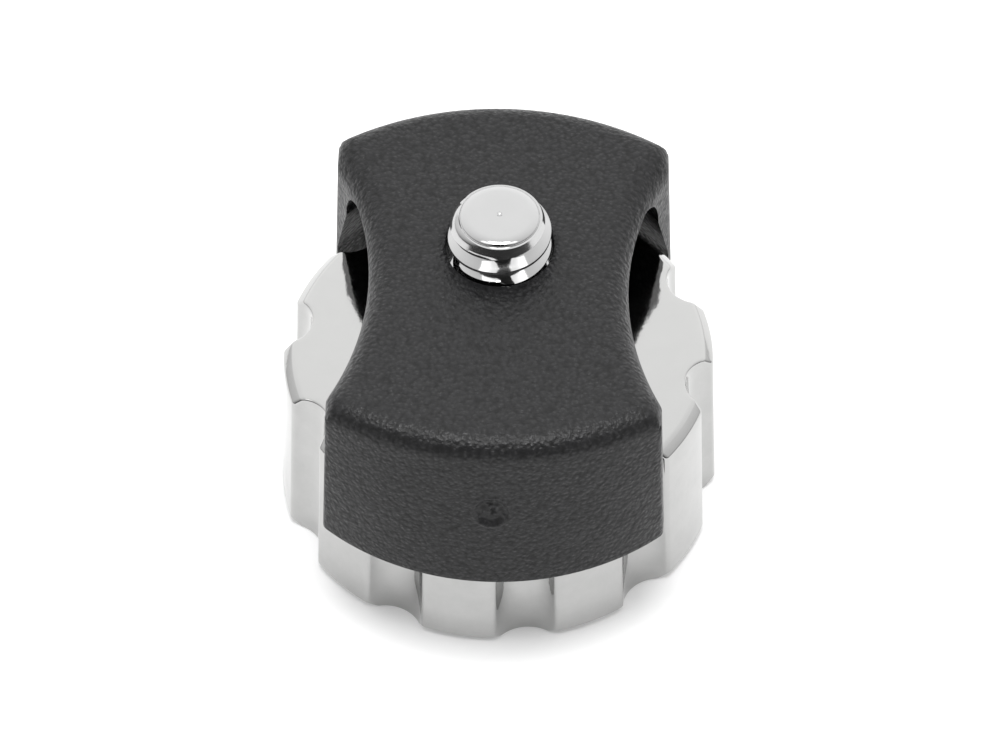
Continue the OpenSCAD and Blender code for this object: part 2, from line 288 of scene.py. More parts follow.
def leaning_wall(z, low, foot, lean, top, rounding):
    """How far a leaning wall stands out at each height, ending in a rounded edge under a flat top.

    A straight line that leans in from foot at the height low, up to where it touches a circle of the
    rounding's radius that also touches the top, then that circle."""
    centre_z = top - rounding
    line = foot - (z - low) * math.tan(lean)
    centre = foot - (centre_z - low) * math.tan(lean) - rounding / math.cos(lean)
    rise = np.clip(z - centre_z, 0, rounding)
    circle = centre + np.sqrt(rounding**2 - rise**2)
    return np.where(z <= centre_z + rounding * math.sin(lean), line, circle)


def grid_faces(rows, columns, closed):
    """Quads between the rows of a grid, by index. A closed grid joins its last column to its first."""
    i, j = np.meshgrid(np.arange(rows - 1), np.arange(columns if closed else columns - 1), indexing="ij")
    k = (j + 1) % columns
    here, next_row = i * columns, (i + 1) * columns
    return np.stack([here + j, here + k, next_row + k, next_row + j], -1).reshape(-1, 4)


def between(a, b, steps):
    """Rows from curve a to curve b, both left out: straight lines between their points, in equal steps."""
    t = np.arange(1, steps)[:, None, None] / steps
    return a[None] * (1 - t) + b[None] * t


def ring(radius, turn, z, centre=(0, 0)):
    """Points at a radius and angle round an upright axis through a centre, at a height."""
    x, y = centre[0] + radius * np.cos(turn), centre[1] + radius * np.sin(turn)
    return np.stack(np.broadcast_arrays(x, y, z), -1)


def steps_of(*stretches):
    """One rising array from stretches of (start, end, step), each cut into equal steps of about its size."""
    parts = [np.linspace(a, b, max(2, math.ceil((b - a) / s) + 1))[:-1] for a, b, s in stretches]
    return np.append(np.concatenate(parts), stretches[-1][1])


def new_object(name, data):
    """A new object with its data, in the scene."""
    thing = bpy.data.objects.new(name, data)
    bpy.context.scene.collection.objects.link(thing)
    return thing


def add_mesh(name, patches, sharp):
    """One closed mesh from patches, each a grid of points in millimetres and whether it is closed round.

    Points of neighbouring patches that coincide are welded, which also removes faces without area, and edges
    sharper than an angle in degrees shade sharp. A mesh that stays open or is inside out is an error."""
    sizes = [grid.shape[0] * grid.shape[1] for grid, closed in patches]
    starts = np.cumsum([0] + sizes[:-1])
    points = np.concatenate([grid.reshape(-1, 3) for grid, closed in patches]) * MM
    faces = np.concatenate([grid_faces(grid.shape[0], grid.shape[1], closed) + start
                            for (grid, closed), start in zip(patches, starts)])
    mesh = bpy.data.meshes.new(name)
    mesh.from_pydata(points.tolist(), [], faces.tolist())
    shell = bmesh.new()
    shell.from_mesh(mesh)
    bmesh.ops.remove_doubles(shell, verts=shell.verts, dist=WELD)
    open_edges = sum(len(edge.link_faces) != 2 for edge in shell.edges)
    volume = shell.calc_volume(signed=True)
    shell.to_mesh(mesh)
    shell.free()
    if open_edges or volume <= 0:
        raise RuntimeError(f"{name}: {open_edges} open edges, volume {volume * 1e9:.1f} cubic millimetres")
    mesh.shade_smooth()
    mesh.set_sharp_from_angle(angle=math.radians(sharp))
    return new_object(name, mesh)


def finish_piece(piece, body, material, node):
    """The piece takes its material and slot, rides on its body and stands for its CAD node."""
    piece.data.materials.append(material)
    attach(piece, body)
    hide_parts(node)


# Hood -----------------------------------------------------


def hood_radius(h, turn, z):
    """The hood's outline: how far it reaches from the wheel's axis at each angle and height, in millimetres.

    The smooth least of three distances along the ray: to the skirt's arc, to the straight end of the skirt
    and to the hollow arc of the waist. The skirt's arc flattens towards the shoulder, and each of the three
    leans and rounds over towards the top in its own way."""
    across, along = np.abs(np.cos(turn)), np.abs(np.sin(turn))
    low, top, foot = HOOD_LOW[2], HOOD_HIGH[2], HOOD_HIGH[1]
    shoulder = top - h.skirt_round
    reach = leaning_wall(z, low, foot, h.skirt_lean, top, h.skirt_round)
    flare = math.atan(h.end_flare / (top - low))
    end = leaning_wall(z, low, h.end_half + h.end_flare, flare, top, h.skirt_round)
    waist = leaning_wall(z, low, h.waist_half, 0, top, h.waist_round)
    edge = np.clip(h.lower_round - (z - low), 0, h.lower_round)
    drawn_in = h.lower_round - np.sqrt(h.lower_round**2 - edge**2)
    flattening = h.shoulder_arc - foot + (shoulder - low) * math.tan(h.skirt_lean)
    offset = flattening * np.clip((z - low) / (shoulder - low), 0, 1)
    to_arc = np.sqrt((reach + offset - drawn_in) ** 2 - (offset * across) ** 2) - offset * along
    to_end = (end - drawn_in) / np.maximum(across, 1e-9)
    axis, never = h.waist_half + h.waist_arc, 10 * foot
    inside = (axis - waist) ** 2 - (axis * along) ** 2
    to_waist = np.where(inside > 0, axis * across - np.sqrt(np.maximum(inside, 0)), never)
    return least(h.corner_sharpness, to_arc, to_end, to_waist)


def pocket_radius(h, turn, z):
    """The pocket's wall: straight beside the wheel, then a cone, then a quarter of an ellipse to the roof.

    The ellipse has its full width beside the windows and a fifth of it at the ends, past the boss. In
    between it narrows smoothly with the sine of the angle."""
    wall = WHEEL_HIGH[0] + h.wheel_gap
    rim = WHEEL_HIGH[2] - h.rim_below_hub
    cove_low = HOOD_HIGH[2] - h.roof_thick - h.cove_high
    cone = wall - h.pocket_lean * np.clip((z - rim) / (cove_low - rim), 0, 1)
    up = np.clip((z - cove_low) / h.cove_high, 0, 1)
    boss_from, boss_span = 0.77, 0.17
    past = np.clip((np.abs(np.sin(turn)) - boss_from) / boss_span, 0, 1)
    wide = h.cove_wide * (1 - 0.8 * past**2 * (3 - 2 * past))
    return cone - wide * (1 - np.sqrt(1 - up**2))


def window_angle(h, z):
    """The angle at each height where the hood's outline meets the pocket, found by halving an interval."""
    low, high = np.full_like(z, math.radians(25)), np.full_like(z, math.radians(60))
    for _ in range(48):
        middle = (low + high) / 2
        outside = hood_radius(h, middle, z) > pocket_radius(h, middle, z)
        low, high = np.where(outside, low, middle), np.where(outside, middle, high)
    return (low + high) / 2


def slot_radius(turn, half, front, rear):
    """The distance along each ray to a slot with round ends, whose ends are centred in front and behind."""
    across, along = np.abs(np.cos(turn)), np.abs(np.sin(turn))
    centre = np.where(np.sin(turn) > 0, rear, front)
    to_side = half / np.maximum(across, 1e-9)
    to_end = centre * along + np.sqrt(np.maximum(half**2 - (centre * across) ** 2, 0))
    return np.where(to_side * along < centre, to_side, to_end)


def hex_radius(turn, flats):
    """The distance along each ray to a hexagon with corners on the X axis."""
    return flats / 2 / np.cos(np.mod(turn, TURN / 6) - TURN / 12)


def gate_mark(h, points):
    """Sinks a gate mark into a wall that faces the front: a shallow dish with a raised lip, a low nub in
    its middle and a small pit in the nub. The dish is a ramp and the others are bells of the distance."""
    x, z = points[..., 0], points[..., 2] - (HOOD_LOW[2] + h.mark_up)
    away = np.hypot(x, z)
    dish = -h.mark_deep * np.clip((h.mark_r - away) / (0.3 * h.mark_r), 0, 1)
    nub = 0.7 * h.mark_deep * np.exp(-((away / (0.45 * h.mark_r)) ** 4))
    pit = -1.2 * h.mark_deep * np.exp(-((x - 0.1 * h.mark_r) ** 2 + z**2) / (0.22 * h.mark_r) ** 2)
    lip = 0.2 * h.mark_deep * np.exp(-(((away - 1.06 * h.mark_r) / (0.12 * h.mark_r)) ** 2))
    return points - (dish + nub + pit + lip)[..., None] * np.array([0, 1, 0])


def wall_heights(h):
    """Heights of the skirts' rows: close together at the lower edge, at the gate mark and up the cove, where
    they follow the sine of equal angles."""
    low = HOOD_LOW[2]
    mark, mark_half = low + h.mark_up, 1.4
    cove = HOOD_HIGH[2] - h.roof_thick - h.cove_high * (1 - np.sin(np.linspace(0, math.pi / 2, 22)))
    plain = steps_of((low, low + h.lower_round, 0.03), (low + h.lower_round, mark - mark_half, 0.3),
                     (mark - mark_half, mark + mark_half, 0.08))
    z = np.unique(np.concatenate([plain, cove]))
    least_step = 2e-3
    return z[np.append(np.diff(z) > least_step, True)]


def skirt_walls(h, z, edge):
    """The walls of both skirts, and the angles of their top row carried on over the windows, from heights
    and the angle of a window's edge at each.

    A skirt has an outer wall, a rim along its lower edge and an inner wall. They span the angles between the
    windows, which widen downwards, so their first and last columns are the windows' upright edges."""
    span = math.degrees(math.pi - 2 * edge[-1])
    # Fine steps beside the windows and at the gate mark, and wide ones between, in degrees.
    share = steps_of((0, 9, 0.4), (9, span / 2 - 6, 1.3), (span / 2 - 6, span / 2 + 6, 0.3),
                     (span / 2 + 6, span - 9, 1.3), (span - 9, span, 0.4)) / span
    walls, turns = [], []
    for start in (0, math.pi):
        turn = start + edge[:, None] + share[None] * (math.pi - 2 * edge[:, None])
        outer = ring(hood_radius(h, turn, z[:, None]), turn, z[:, None])
        inner = ring(pocket_radius(h, turn, z[:, None]), turn, z[:, None])
        if start:
            outer = gate_mark(h, outer)
        rim = np.stack([inner[0], (outer[0] + inner[0]) / 2, outer[0]])
        walls += [(outer, False), (rim, False), (inner[::-1], False)]
        window = np.linspace(turn[-1, -1], start + math.pi + edge[-1], 61)
        turns += [turn[-1, :-1], window[:-1]]
    return walls, np.concatenate(turns)


def stud_hole(h, turn):
    """Rings down the stud's bevelled hole and the hexagonal pocket for its head."""
    stud, top, plate = (0, (STUD_LOW[1] + STUD_HIGH[1]) / 2), HOOD_HIGH[2], PLATE_HIGH[2]
    head = hex_radius(turn, h.head_flats)
    return np.stack([ring(radius, turn, z, stud) for radius, z in (
        (h.hole_r + h.hole_bevel, top), (h.hole_r + 0.3 * h.hole_bevel, top - 0.3 * h.hole_bevel),
        (h.hole_r, top - h.hole_bevel), (h.hole_r, plate + h.head_high),
        (head, plate + h.head_high), (head, plate))])


def hood_ceiling(h, turn):
    """Rings out under the core plate's recess, down and round the boss and along the ceiling to its edge."""
    half = PLATE_HIGH[0] + h.plate_gap
    front, rear = -PLATE_LOW[1] - PLATE_HIGH[0], PLATE_HIGH[1] - PLATE_HIGH[0]
    recess = slot_radius(turn, half, front, rear)
    boss = slot_radius(turn, half + h.boss_wall, front, rear)
    boss_low, roof = BUSH_HIGH[2] + h.boss_gap, HOOD_HIGH[2] - h.roof_thick
    edge = np.minimum(hood_radius(h, turn, roof), pocket_radius(h, turn, roof))
    soft = 0.2
    return np.stack([ring(radius, turn, z) for radius, z in (
        (recess, PLATE_HIGH[2]), (recess, boss_low), (boss - soft, boss_low),
        (boss - 0.3 * soft, boss_low + 0.3 * soft), (boss, boss_low + soft), (boss, roof - h.boss_round),
        (boss + 0.3 * (edge - boss), roof - 0.3 * h.boss_round), (boss + 0.7 * (edge - boss), roof),
        (edge, roof))])


def hood_patches(h):
    """The hood as a stack of closed rings and two sets of skirt walls, welded along the windows' edges.

    The rings run up from the roof's outer edge over the rounded shoulder, in over the top, down the stud's
    hole and head pocket, and out under the core plate's recess and the boss to the ceiling's edge."""
    z = wall_heights(h)
    walls, turn = skirt_walls(h, z, window_angle(h, z))
    top, roof = HOOD_HIGH[2], HOOD_HIGH[2] - h.roof_thick
    fillet = top - h.waist_round * (1 - np.cos(np.linspace(0, math.pi / 2, 21)))
    second_row, next_row = roof + 0.02, roof + 0.03
    fillet = np.unique(np.append(fillet[fillet > next_row], [roof, second_row]))[:, None]
    shoulder = ring(hood_radius(h, turn, fillet), turn, fillet)
    hole = stud_hole(h, turn)
    over = np.concatenate([shoulder, between(shoulder[-1], hole[0], 8), hole, hood_ceiling(h, turn)])
    return [(over, True)] + walls


def build_hood(h):
    """The hood, with its skirts, windows, rounded waist, gate mark, boss and plate recess."""
    return add_mesh("hood_shell", hood_patches(h), sharp=35)


# Clamp wheel ----------------------------------------------


def wheel_outline(w, rim, drawn_in, share):
    """The castellated outline of the wheel as plan points: rim arcs, rounded corners and hollow notch arcs.

    The share of the rim's height sets the notches' radius and depth between those at the foot and at the
    top. Each corner is an arc that touches the rim circle from inside and the notch circle from outside. The
    law of cosines gives the angle of its centre. All three radii change by the same amount where an edge
    draws in."""
    notch = w.notch_foot_r + share * (w.notch_r - w.notch_foot_r)
    radius = rim - drawn_in
    hollow = notch + drawn_in
    away = WHEEL_HIGH[0] - w.notch_foot_deep - share * (w.notch_deep - w.notch_foot_deep) + notch
    least_corner = 0.2
    corner = max(w.corner_r - drawn_in, least_corner)
    reach = radius - corner
    swing = math.acos((reach**2 + away**2 - (hollow + corner) ** 2) / (2 * reach * away))
    centre = reach * np.array([math.cos(swing), math.sin(swing)])
    touch = math.atan2(centre[1], away - centre[0])
    a = np.linspace(0, touch, 13)[:-1]
    b = np.linspace(-touch, swing, 10)[:-1]
    c = np.linspace(swing, math.pi / w.notches, 9)
    half = np.concatenate([
        np.stack([away - hollow * np.cos(a), hollow * np.sin(a)], 1),
        centre + corner * np.stack([np.cos(b), np.sin(b)], 1),
        radius * np.stack([np.cos(c), np.sin(c)], 1)])
    pitch = np.concatenate([half[1:-1][::-1] * [1, -1], half])
    turns = w.notch_turn + np.arange(w.notches) * TURN / w.notches
    plan = (np.exp(1j * turns)[:, None] * (pitch[:, 0] + 1j * pitch[:, 1])[None]).reshape(-1)
    return np.stack([plan.real, plan.imag], -1)


def crown(w, radius):
    """How much lower than the hub the wheel's top is: the drop to the rim times a share that grows with the
    square of the radius, from nothing at the hub to all of it at the rim."""
    hub, rim = BUSH_HIGH[0], WHEEL_HIGH[0] - w.draft - w.bevel
    return (WHEEL_HIGH[2] - w.rim_high) * np.clip((radius**2 - hub**2) / (rim**2 - hub**2), 0, 1)


def rim_levels(w):
    """Heights up the rim, and how far its edges' rounding and its bevels draw it in at each of them.

    The rounding is a quarter of a circle. A bevel is a straight line, and its corner with the wall is a
    parabola that touches both."""
    quarter, soft = np.linspace(0, math.pi / 2, 6), w.bevel_soft
    near = np.concatenate([w.edge_r * (1 - np.cos(quarter)), w.bevel + soft * np.linspace(-1, 1, 5)])
    wall = np.linspace(near[-1], w.rim_high - near[-1], 7)
    height = np.concatenate([near, wall[1:-1], w.rim_high - near[::-1]])
    away = np.minimum(height, w.rim_high - height)
    rounding = w.edge_r - np.sqrt(w.edge_r**2 - np.clip(w.edge_r - away, 0, w.edge_r) ** 2)
    corner = np.clip(w.bevel + soft - away, 0, None) ** 2 / (4 * soft)
    return height, rounding, np.where(away < w.bevel - soft, w.bevel - away, corner)


def wheel_underside(w, turn, foot_turn):
    """Rings out under the web, down the chamber and the insert's seat, and over the relief to the foot."""
    web, seat, step, groove = BUSH_LOW[2], w.insert_r, INSERT_HIGH[2], w.foot_r
    bevel, lip_bevel, lip = 0.15, 0.1, w.insert_r + w.bevel
    corner = ((-0.3, 0), (-0.08, -0.08), (0, -0.2))
    rings = [(w.chamber_r - bevel, web), (w.chamber_r, web - bevel), (w.chamber_r, step), (seat, step),
             (seat, bevel), (seat + bevel, 0), (lip - lip_bevel, 0), (lip, lip_bevel), (lip, w.relief)]
    rings += [(groove + out, w.relief + up) for out, up in corner]
    rings += [(groove + bevel / 3, bevel / 3), (groove + bevel, 0)]
    return np.stack([ring(w.bush_r, turn, web)] + [ring(radius, foot_turn, z) for radius, z in rings])


def wheel_rings(w):
    """The wheel as a stack of closed rings: from the bore out under the web, down the chamber and the
    insert's seat, out under the foot, up the castellated rim, in over the crowned top and down the bore."""
    top, web, bore_bevel = WHEEL_HIGH[2], BUSH_LOW[2], 0.1
    height, rounding, bevel = rim_levels(w)
    rim = WHEEL_HIGH[0] - w.draft * height / w.rim_high - bevel
    plans = np.stack([wheel_outline(w, r, i, z / w.rim_high) for r, i, z in zip(rim, rounding, height)])
    levels = np.broadcast_to(height[:, None, None], (*plans.shape[:2], 1))
    rim_ring = np.concatenate([plans, levels], -1)
    foot_turn = np.arctan2(rim_ring[0, :, 1], rim_ring[0, :, 0])
    turn = np.arctan2(rim_ring[-1, :, 1], rim_ring[-1, :, 0])
    hub = ring(BUSH_HIGH[0], turn, top)
    face = between(rim_ring[-1], hub, 15)
    face[..., 2] = top - crown(w, np.hypot(face[..., 0], face[..., 1]))
    lip = top - crown(w, np.hypot(rim_ring[-1, :, 0], rim_ring[-1, :, 1]))
    share = np.clip(1 - (w.rim_high - height) / w.bevel, 0, 1)
    rim_ring[..., 2] += share[:, None] * (lip - w.rim_high)[None]
    bore = np.stack([hub] + [ring(radius, turn, z) for radius, z in (
        (w.bush_r + bore_bevel, top), (w.bush_r, top - bore_bevel), (w.bush_r, web))])
    return np.concatenate([wheel_underside(w, turn, foot_turn), rim_ring, face, bore])


def build_wheel(w):
    """The castellated clamp wheel."""
    return add_mesh("clamp_wheel_rim", [(wheel_rings(w), True)], sharp=32)


# Threads --------------------------------------------------


def thread_rows(crest, root, pitch, low, high, turn, start, flat, largest):
    """A right-handed screw surface: each row climbs one pitch in a turn, so crests and roots lie along rows.

    A crest reaches the high end at the start angle. Along the axis the radius goes from the crest's flat
    down a straight flank to a rounded root and back. Rows past the low and high ends are flattened onto
    them, where they keep the radius that the thread has there. The function largest gives the greatest
    radius allowed at each height, which tapers the thread's ends."""
    phase = np.array([-flat / 2, 0, flat / 2, 0.2, 0.32, 0.44, 0.5, 0.56, 0.68, 0.8])
    depth = np.array([0, 0, 0, 0.32, 0.7, 0.96, 1, 0.96, 0.7, 0.32])
    level = (np.arange(math.floor((low - high) / pitch) - 2, 3)[:, None] + phase[None]).reshape(-1)
    climb = (turn[None] - start) / TURN
    z = np.clip(high + (level[:, None] + climb) * pitch, low, high)
    cycle = np.mod((z - high) / pitch - climb + flat / 2, 1) - flat / 2
    radius = crest + (root - crest) * np.interp(cycle, np.append(phase, 1 - flat / 2), np.append(depth, 0))
    return ring(np.minimum(radius, largest(z)), turn, z)


def build_stud(s):
    """The stud: hexagonal head, relieved neck, and a screw thread with a bevelled end under a flat tip with
    a turning centre. The tip's soft edge is a quarter of an ellipse, from the flat to the thread's root."""
    turn = np.linspace(0, TURN, 145)
    tip, head_low = STUD_HIGH[2], STUD_LOW[2]
    head_top = head_low + s.head_high
    seat, shoulder = HOOD_HIGH[2] - s.thread_sunk, HOOD_HIGH[2] + THREAD_HIGH
    root = THREAD_R - s.thread_deep
    lead = tip - s.tip_edge
    head = hex_radius(turn, s.head_flats)
    run_out, run_out_slope, head_edge, neck_edge, flat_middle = 0.25, 2.5, 0.12, 0.1, 1.2

    def largest(z):
        """The run-out into the neck at the low end and the bevel at the high end."""
        bevel = s.lead_in * (z - shoulder) / (tip - shoulder)
        return np.minimum(root + run_out + (z - seat) * run_out_slope, THREAD_R - bevel)

    below = [ring(r, turn, z) for r, z in (
        (0, head_low), (0.3 * s.head_flats, head_low), (head - 0.2, head_low), (head, head_low + head_edge),
        (head, head_top - head_edge), (np.minimum(head, s.head_flats / 2), head_top),
        (s.neck_r + neck_edge, head_top), (s.neck_r, head_top + neck_edge), (s.neck_r, seat - run_out))]
    rows = thread_rows(THREAD_R, root, s.pitch, seat, lead, turn, s.thread_turn, s.crest_flat, largest)
    above = [ring(s.tip_flat + (root - s.tip_flat) * math.cos(q), turn, lead + s.tip_edge * math.sin(q))
             for q in np.linspace(0, math.pi / 2, 11)]
    above += [ring(r, turn, z) for r, z in (
        (flat_middle, tip), (1.3 * s.centre_r, tip), (s.centre_r, tip - 0.2 * s.centre_r),
        (0, tip - s.centre_r))]
    stack = np.concatenate([np.stack(below), rows, np.stack(above)])
    stack[..., 1] += (STUD_LOW[1] + STUD_HIGH[1]) / 2
    return add_mesh("top_stud", [(stack, False)], sharp=28)


def build_insert(n):
    """The threaded insert: a screw thread cut right through a plug with bevelled edges."""
    turn = np.linspace(0, TURN, 129)
    low, high, outer = INSERT_LOW[2], INSERT_HIGH[2], INSERT_HIGH[0]
    lead, top_lead, top_bevel = n.mouth_lead, 0.2, 0.15
    rows = thread_rows(n.minor_r, n.socket_r, n.pitch, low + lead, high - top_lead, turn, start=0, flat=0.2,
                       largest=lambda z: outer)
    outside = [ring(r, turn, z) for r, z in (
        (n.socket_r + 0.05, high), (outer - top_bevel, high), (outer, high - top_bevel),
        (outer, low + lead), (outer - lead, low), (n.socket_r + lead, low))]
    stack = np.concatenate([rows, np.stack(outside), rows[:1]])
    return add_mesh("threaded_insert", [(stack[::-1], False)], sharp=30)


# Finishes -------------------------------------------------


def add_node(tree, kind, sockets, **settings):
    """Adds a node, gives it its settings, and sets its sockets or joins them to other nodes' outputs."""
    node = tree.nodes.new(kind)
    for key, value in settings.items():
        setattr(node, key, value)
    for key, value in sockets.items():
        if isinstance(value, bpy.types.NodeSocket):
            tree.links.new(value, node.inputs[key])
        else:
            node.inputs[key].default_value = value
    return node


def remapped(tree, value, low, high, new_low=0, new_high=1, **settings):
    """A value carried over from one range to another, and kept inside it."""
    sockets = {"Value": value, "From Min": low, "From Max": high, "To Min": new_low, "To Max": new_high}
    return add_node(tree, "ShaderNodeMapRange", sockets, **settings).outputs["Result"]


def product(tree, a, b):
    """One value times another."""
    return add_node(tree, "ShaderNodeMath", {0: a, 1: b}, operation="MULTIPLY").outputs[0]


def noise(tree, place, scale, detail=2, roughness=0.5):
    """A cloudy value between 0 and 1, whose clouds come at a scale of so many to a metre."""
    sockets = {"Vector": place, "Scale": scale, "Detail": detail, "Roughness": roughness}
    return add_node(tree, "ShaderNodeTexNoise", sockets).outputs["Fac"]


def bumped(tree, height, deep, strength=1):
    """The surface's normal, tilted by a height between 0 and 1 that is so many millimetres deep."""
    sockets = {"Height": height, "Strength": strength, "Distance": deep * MM}
    return add_node(tree, "ShaderNodeBump", sockets).outputs["Normal"]


def between_colours(tree, share, dark, light):
    """A colour between two others by a share from 0 to 1."""
    sockets = {"Factor": share, "A": (*dark, 1), "B": (*light, 1)}
    return add_node(tree, "ShaderNodeMix", sockets, data_type="RGBA").outputs["Result"]


def shade(colour, amount):
    """A colour made lighter or darker by an amount."""
    return tuple(min(1, channel * amount) for channel in colour)


def new_finish(name, colour, metallic, roughness):
    """A new material: returns it, its node tree, its shader's sockets and its object coordinates."""
    material = bpy.data.materials.new(name)
    material.use_nodes = True
    tree = material.node_tree
    shader = tree.nodes["Principled BSDF"].inputs
    shader["Base Color"].default_value = (*colour, 1)
    shader["Metallic"].default_value = metallic
    shader["Roughness"].default_value = roughness
    return material, tree, shader, add_node(tree, "ShaderNodeTexCoord", {}).outputs["Object"]


def grained_plastic(f):
    """Moulded black plastic with a spark-eroded grain: pits and bumps, whose tops are rubbed smoother, with
    painted shade in the pits and a painted sparkle on the tops.
    """
    material, tree, shader, place = new_finish(
        "grained_black_plastic", f.hood_black, metallic=0, roughness=0.45)
    shader["Specular IOR Level"].default_value = f.hood_gloss
    size = f.grain * MM
    pits = noise(tree, place, 0.5 / size, roughness=0.6)
    cells = add_node(tree, "ShaderNodeTexVoronoi", {"Vector": place, "Scale": 0.45 / size},
                     feature="SMOOTH_F1").outputs["Distance"]
    height = add_node(tree, "ShaderNodeMath", {0: pits, 1: cells}, operation="SUBTRACT").outputs[0]
    tree.links.new(bumped(tree, height, f.grain_deep), shader["Normal"])
    tops = remapped(tree, height, -0.25, 0.35)
    # Painted shade in the grain's pits and painted sparkle on its tops: the colour runs from half the
    # plastic's to 1.8 times it with the grain's height.
    black = between_colours(tree, tops, shade(f.hood_black, 0.5), shade(f.hood_black, 1.8))
    tree.links.new(black, shader["Base Color"])
    gloss = product(tree, tops, noise(tree, place, 350, detail=3))
    tree.links.new(remapped(tree, gloss, 0, 0.6, 0.48, 0.28), shader["Roughness"])
    return material


def plated(name, colour, roughness, ripple, ripple_size, wall=1):
    """Bright plating over a metal part: faint ripples of the metal under it, and a haze that comes and goes.

    Upright walls can be given painted shade: a factor darkens their colour against that of faces that point
    up."""
    material, tree, shader, place = new_finish(name, colour, metallic=1, roughness=roughness)
    waves = noise(tree, place, 1 / (ripple_size * MM))
    tree.links.new(bumped(tree, waves, ripple), shader["Normal"])
    haze = noise(tree, place, 600, detail=4, roughness=0.65)
    rough = remapped(tree, haze, 0.3, 0.75, 0.75 * roughness, 1.35 * roughness)
    tree.links.new(rough, shader["Roughness"])
    normal = add_node(tree, "ShaderNodeTexCoord", {}).outputs["Normal"]
    facing = add_node(tree, "ShaderNodeSeparateXYZ", {"Vector": normal})
    lying = remapped(tree, facing.outputs["Z"], 0.15, 0.7)
    # Painted shade: upright walls take the wall factor times the plating's colour, while faces that point up
    # keep the plain colour; the haze varies both.
    hazy_walls_painted_shade = between_colours(tree, haze, shade(colour, 0.9 * wall), shade(colour, 1.1 * wall))
    bright = between_colours(tree, haze, shade(colour, 0.97), shade(colour, 1.03))
    mix = add_node(tree, "ShaderNodeMix", {"Factor": lying, "A": hazy_walls_painted_shade, "B": bright}, data_type="RGBA")
    tree.links.new(mix.outputs["Result"], shader["Base Color"])
    return material


def turned(name, colour, metallic, roughness, mark, mark_pitch):
    """A part turned in a lathe: fine rings round the upright axis, deeper here and there, and a patina."""
    material, tree, shader, place = new_finish(name, colour, metallic, roughness)
    radians_to_a_unit = 20
    scale = TURN / radians_to_a_unit / (mark_pitch * MM)
    sockets = {"Vector": place, "Scale": scale, "Distortion": 0.6, "Detail": 2}
    rings = add_node(tree, "ShaderNodeTexWave", sockets, wave_type="RINGS", rings_direction="Z")
    patina = noise(tree, place, 420, detail=4, roughness=0.6)
    depth = product(tree, rings.outputs["Fac"], patina)
    tree.links.new(bumped(tree, depth, mark, strength=0.6), shader["Normal"])
    rough = remapped(tree, depth, 0, 0.7, 1.2 * roughness, 0.8 * roughness)
    tree.links.new(rough, shader["Roughness"])
    tones = between_colours(tree, patina, shade(colour, 0.85), shade(colour, 1.12))
    tree.links.new(tones, shader["Base Color"])
    return material


# Stage ----------------------------------------------------


def towards(swing, height):
    """The direction at an angle to the right of straight in front and at an angle above the floor."""
    return Vector((math.sin(swing) * math.cos(height), -math.cos(swing) * math.cos(height),
                   math.sin(height)))


def add_camera(s):
    """The camera. It aims a little above and beside the middle of the wheel's bottom face."""
    away = towards(s.swing, s.height)
    right = Vector((math.cos(s.swing), math.sin(s.swing), 0))
    up = away.cross(right)
    camera = new_object("stage_camera", bpy.data.cameras.new("stage_camera"))
    camera.data.lens = s.lens
    camera.data.sensor_width = 36
    camera.data.clip_start, camera.data.clip_end = 0.05, 20
    camera.location = away * s.distance
    aim = -away + right * s.aim_right + up * s.aim_up
    camera.rotation_euler = aim.to_track_quat("-Z", "Y").to_euler()
    bpy.context.scene.camera = camera


def white_paper(glow):
    """White paper with faint fibres, which a light under the table shines through."""
    paper, tree, shader, place = new_finish("white_paper", (0.8, 0.8, 0.8), metallic=0, roughness=1)
    fibres = noise(tree, place, 2000)
    tones = between_colours(tree, fibres, (0.78, 0.78, 0.78), (0.82, 0.82, 0.82))
    tree.links.new(tones, shader["Base Color"])
    shader["Emission Color"].default_value = (1, 1, 1, 1)
    shader["Emission Strength"].default_value = glow
    return paper


def add_floor(s):
    """The floor: a square sheet of paper at the foot of the wheel."""
    half = s.floor_wide / 2
    sheet = bpy.data.meshes.new("stage_floor")
    corners = [(-half, -half, 0), (half, -half, 0), (half, half, 0), (-half, half, 0)]
    sheet.from_pydata(corners, [], [(0, 1, 2, 3)])
    sheet.materials.append(white_paper(s.glow))
    floor = new_object("stage_floor", sheet)


def add_lights(s):
    """Two soft lights high in front, to the left and right, and one almost overhead."""
    for name, swing, high, power in (
            ("left_light", -s.light_swing, s.light_high, s.light_power),
            ("right_light", s.light_swing, s.light_high, s.light_power),
            ("top_light", 0, s.top_high, s.top_power)):
        lamp = new_object(name, bpy.data.lights.new(name, "AREA"))
        lamp.data.size = s.light_wide
        lamp.data.energy = power
        lamp.location = s.light_away * towards(swing, high)
        lamp.rotation_euler = (-lamp.location).to_track_quat("-Z", "Y").to_euler()


